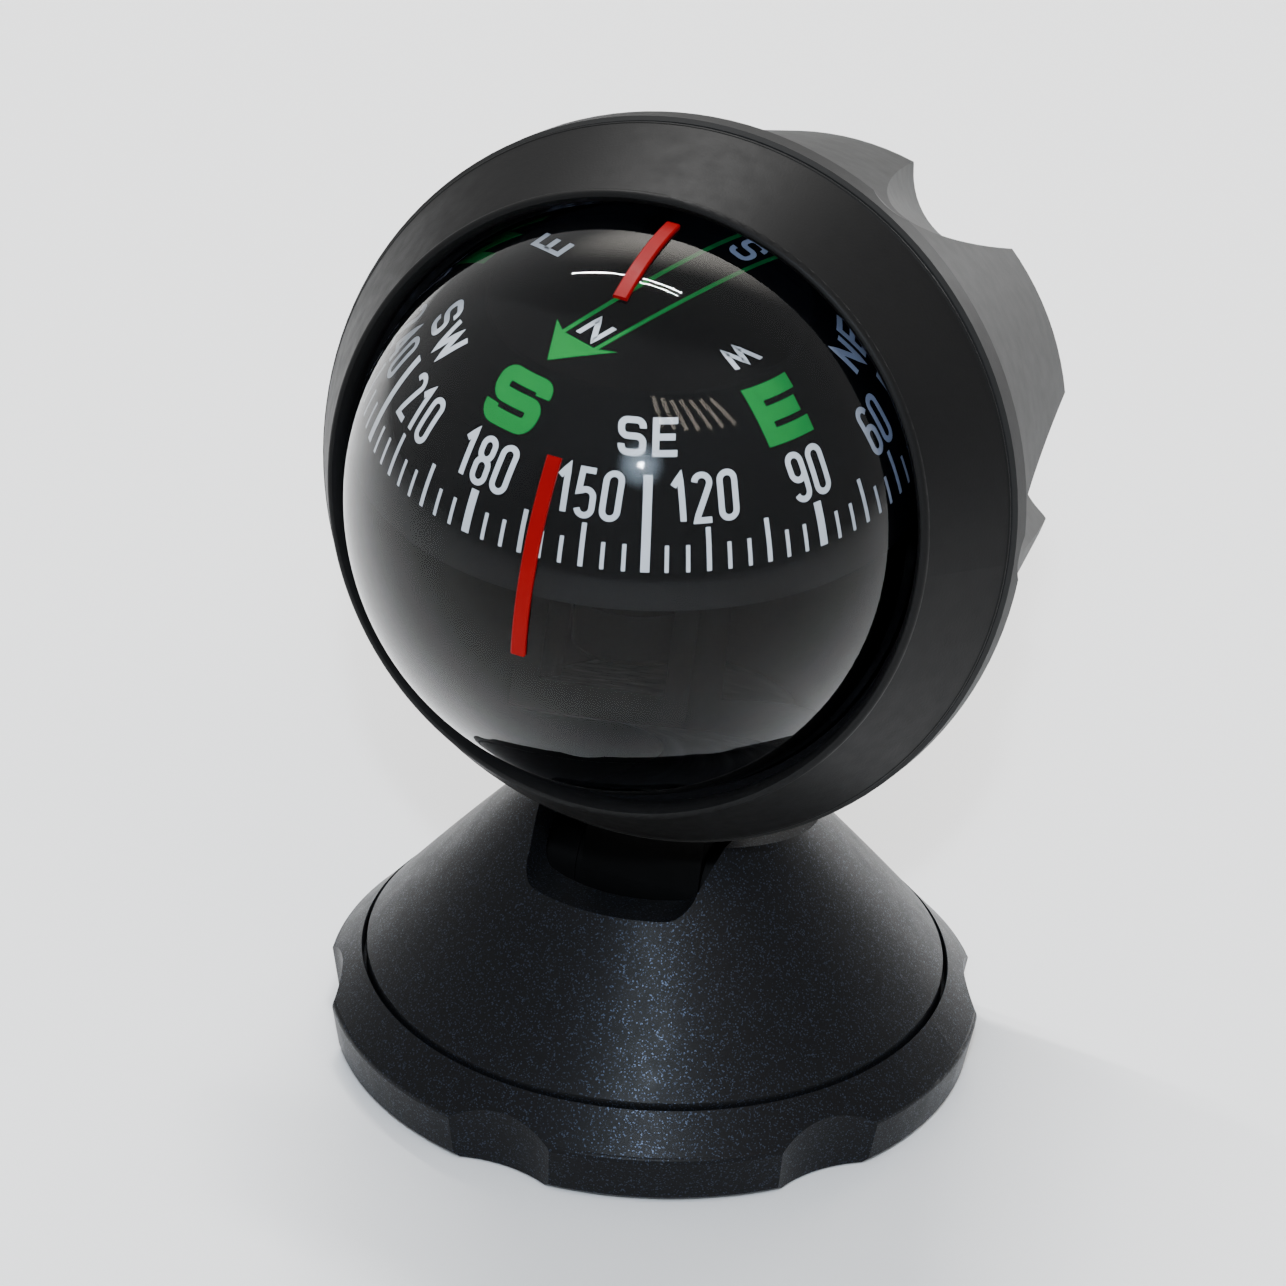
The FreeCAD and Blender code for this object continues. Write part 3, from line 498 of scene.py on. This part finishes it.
def makeFigures():
    bm = bmesh.new()
    for label in range(0, 360, 30):
        write(bm, str(label), card["figureWidth"] - card["figureStroke"], card["figureHeight"],
              card["figureStroke"], card["figureGap"],
              lambda x, y, lift: onSide(label, card["figureFoot"], x, y, lift))
    addPiece("card_figures", bm, "card", "whitePrint", False)
    bm = bmesh.new()
    for label, text in ((45, "NE"), (135, "SE"), (225, "SW"), (315, "NW")):
        write(bm, text, card["pairWidth"] - card["pairStroke"], card["pairHeight"],
              card["pairStroke"], card["pairGap"],
              lambda x, y, lift: onSide(label, card["pairFoot"], x, y, lift))
    addPiece("card_between_points", bm, "card", "whitePrint", False)
    bm = bmesh.new()
    for label, text in ((0, "N"), (90, "E"), (180, "S"), (270, "W")):
        write(bm, text, card["bigWidth"] - card["bigStroke"], card["bigHeight"], card["bigStroke"], 0,
              lambda x, y, lift: onSide(label, card["bigFoot"], x, y, lift))
    addPiece("card_main_points", bm, "card", "greenPrint", False)


topPrint = dict(north=4.75, ring=7.95, tip=9.4, shoulder=5.57, halfHead=2.55, halfShaft=1.38, line=0.3,
                notch=6.3)


def makeTopPrint(s):
    bm = bmesh.new()
    letters = ((180, "N", s["north"]), (270, "E", s["ring"]), (0, "S", s["ring"]), (90, "W", s["ring"]))
    for label, text, distance in letters:
        write(bm, text, card["topWidth"] - card["topStroke"], card["topHeight"], card["topStroke"], 0,
              lambda x, y, lift: onTop(label, distance - card["topHeight"] / 2, x, y, lift))
    addPiece("card_top_letters", bm, "card", "whitePrint", False)
    bm = bmesh.new()
    place = lambda x, y, lift: onTop(180, 0, x, y, lift)
    for side in (-1, 1):
        x = side * s["halfShaft"]
        reach = -math.sqrt((cardRadius / mm) ** 2 - (cardTop / mm) ** 2 - x * x) + 0.5
        inkRun(bm, [(x, reach), (x, s["notch"])], False, s["line"] / 2, place)
    outline = [(0, s["tip"]), (s["halfHead"], s["shoulder"]), (s["halfShaft"], s["notch"]),
               (-s["halfShaft"], s["notch"]), (-s["halfHead"], s["shoulder"])]
    low = [bm.verts.new(place(x, y, -card["ink"])) for x, y in outline]
    high = [bm.verts.new(place(x, y, card["ink"])) for x, y in outline]
    for ring in (low, high):
        for tri in ((0, 1, 2), (0, 2, 3), (0, 3, 4)):
            bm.faces.new([ring[i] for i in tri])
    for k in range(len(outline)):
        j = (k + 1) % len(outline)
        bm.faces.new((low[k], low[j], high[j], high[k]))
    addPiece("card_arrow", bm, "card", "greenPrint", False)


makeTicks()
makeFigures()
makeTopPrint(topPrint)
print("card printed")


floor = dict(size=3.0, colour=(0.96, 0.96, 0.96), drop=0.05 * mm)


def makeFloor(s):
    bm = bmesh.new()
    h = s["size"] / 2
    corners = ((-h, -h), (h, -h), (h, h), (-h, h))
    bm.faces.new([bm.verts.new((x, y, -s["drop"])) for x, y in corners])
    mesh = bpy.data.meshes.new("floor")
    bm.to_mesh(mesh)
    bm.free()
    obj = bpy.data.objects.new("floor", mesh)
    bpy.context.scene.collection.objects.link(obj)
    mesh.materials.append(makePlain("floorPaper", s["colour"], 0.75, 0.01))


lampAim = Vector((0, 0, 40 * mm))
softMiddle = 3.4                                             # strength in the middle of a soft lamp
lamps = {
    "flash": dict(azimuth=19.5, elevation=40, distance=0.8, width=0.03, height=0.03,
                  power=3.0, soft=0, colour=(0.85, 0.92, 1.0)),
    "umbrella": dict(azimuth=19.5, elevation=40, distance=0.8, width=0.3, height=0.3,
                     power=3.4, soft=1, colour=(0.64, 0.8, 1.0)),
    "ceiling": dict(azimuth=-168, elevation=40, distance=1.0, width=1.2, height=0.7,
                    power=3.4, soft=1, colour=(1.0, 0.95, 0.88)),
    "lowBehind": dict(azimuth=165, elevation=10, distance=1.0, width=0.5, height=0.2,
                      power=5.0, soft=1, colour=(1, 1, 1)),
    "tubeLong": dict(azimuth=-147, elevation=60, roll=-38, distance=0.7, width=0.4, height=0.009,
                     power=4.5, soft=0, colour=(1, 1, 1)),
    "tubeShort": dict(azimuth=-159, elevation=66, roll=-27, distance=0.7, width=0.2, height=0.006,
                      power=1.6, soft=0, colour=(1, 1, 1)),
}
for rib in range(7):                                        # a louvred panel, up to the right
    lamps["louvre" + str(rib)] = dict(azimuth=29 + rib * 7, elevation=60 - rib, roll=12,
                                      distance=0.7, width=0.018, height=0.15,
                                      power=0.11, soft=0, colour=(1.0, 0.87, 0.74))


def makeLamp(name, s, aim):
    light = bpy.data.lights.new(name, "AREA")
    light.shape = "RECTANGLE"
    light.size, light.size_y = s["width"], s["height"]
    light.energy = s["power"]
    light.color = s["colour"]
    if s["soft"]:
        fadeToEdge(light)
    a, e = math.radians(s["azimuth"]), math.radians(s["elevation"])
    away = Vector((math.sin(a) * math.cos(e), -math.cos(a) * math.cos(e), math.sin(e)))
    obj = bpy.data.objects.new(name, light)
    obj.location = aim + away * s["distance"]
    turn = Quaternion((0, 0, 1), math.radians(s.get("roll", 0)))
    obj.rotation_euler = (away.to_track_quat("Z", "Y") @ turn).to_euler()
    bpy.context.scene.collection.objects.link(obj)


def fadeToEdge(light):
    # brightest in the middle of the cloth, nothing at its edge
    light.use_nodes = True
    tree = light.node_tree
    emit = tree.nodes["Emission"]
    where = tree.nodes.new("ShaderNodeNewGeometry").outputs["Parametric"]
    fromMiddle = tree.nodes.new("ShaderNodeVectorMath")
    fromMiddle.operation = "DISTANCE"
    fromMiddle.inputs[1].default_value = (0.5, 0.5, 0)
    link(tree, where, fromMiddle.inputs[0])
    fade = tree.nodes.new("ShaderNodeMapRange")
    fade.interpolation_type = "SMOOTHERSTEP"
    fade.inputs["From Min"].default_value = 0.0
    fade.inputs["From Max"].default_value = 0.5
    fade.inputs["To Min"].default_value = softMiddle
    fade.inputs["To Max"].default_value = 0.0
    link(tree, fromMiddle.outputs["Value"], fade.inputs["Value"])
    link(tree, fade.outputs["Result"], emit.inputs["Strength"])


surroundings = dict(colour=(1.0, 1.0, 1.0), strength=0.6)


def makeWorld(s):
    world = bpy.data.worlds.new("studio")
    world.use_nodes = True
    back = world.node_tree.nodes["Background"]
    back.inputs["Color"].default_value = (*s["colour"], 1)
    back.inputs["Strength"].default_value = s["strength"]
    bpy.context.scene.world = world


shot = dict(azimuth=20.84, elevation=29.43, roll=2.82, distance=0.5, aim=(-2.25 * mm, 0, 33.78 * mm),
            lens=184.2)


def makeCamera(s):
    a, e, r = (math.radians(s[k]) for k in ("azimuth", "elevation", "roll"))
    back = Vector((math.sin(a) * math.cos(e), -math.cos(a) * math.cos(e), math.sin(e)))
    level = Vector((math.cos(a), math.sin(a), 0))
    above = back.cross(level)
    right = level * math.cos(r) + above * math.sin(r)
    up = above * math.cos(r) - level * math.sin(r)
    data = bpy.data.cameras.new("camera")
    data.lens = s["lens"]
    data.sensor_width = 36
    data.clip_start, data.clip_end = 0.01, 20
    obj = bpy.data.objects.new("camera", data)
    place = Vector(s["aim"]) + back * s["distance"]
    obj.matrix_world = Matrix(((right.x, up.x, back.x, place.x), (right.y, up.y, back.y, place.y),
                               (right.z, up.z, back.z, place.z), (0, 0, 0, 1)))
    bpy.context.scene.collection.objects.link(obj)
    bpy.context.scene.camera = obj


makeFloor(floor)
for lampName, lamp in lamps.items():
    makeLamp(lampName, lamp, lampAim)
makeWorld(surroundings)
makeCamera(shot)
print("floor, lamps and camera set")
